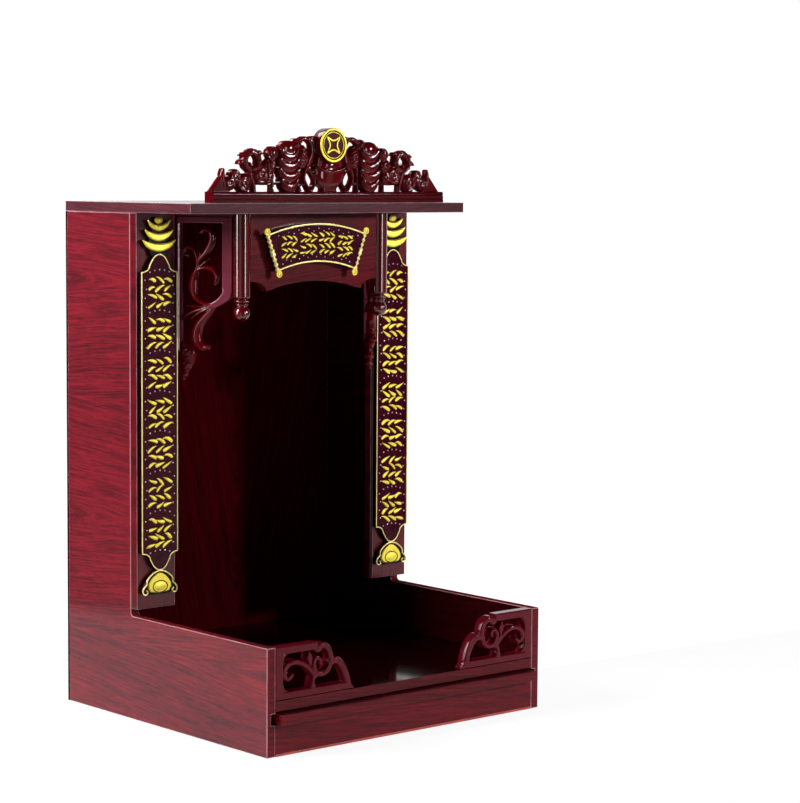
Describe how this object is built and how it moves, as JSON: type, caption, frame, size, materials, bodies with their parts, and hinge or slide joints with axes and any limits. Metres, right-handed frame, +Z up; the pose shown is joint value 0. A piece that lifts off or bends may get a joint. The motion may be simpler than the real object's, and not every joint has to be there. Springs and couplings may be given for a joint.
{
  "type": "household altar cabinet",
  "caption": "Open wooden altar cabinet: tall niche behind a low forecourt with a pull-out tray, deep roof on hanging posts, carved brackets, fences and a crest.",
  "frame": {"origin": "middle of the footprint on the plane it stands on", "axes": "+Z up, open front towards -Y, +X to the right as seen from the front"},
  "size_m": [0.42, 0.4088, 0.7033],
  "materials": {
    "veneer": "gloss",
    "board": "gloss",
    "carved": "gloss lacquer"
  },
  "bodies": {
    "cabinet": {"left_side_panel": "veneer", "right_side_panel": "veneer", "back_panel": "veneer", "roof_board": "board", "deck_board": "board", "bottom_board": "veneer", "front_skirt": "board", "left_jamb": "board", "right_jamb": "board", "left_couplet_plaque": "carved", "right_couplet_plaque": "carved", "left_hanging_post": "carved", "right_hanging_post": "carved", "transom_board": "board", "scroll_plaque": "carved", "left_bracket": "carved", "right_bracket": "carved", "left_fence": "carved", "right_fence": "carved", "crest": "carved"},
    "tray": {"pull_out_tray": "board"}
  },
  "joints": [
    {"name": "tray_slide", "type": "slide", "parent": "cabinet", "child": "tray", "axis": [0, -1, 0], "range_m": [0, 0.2]}
  ]
}
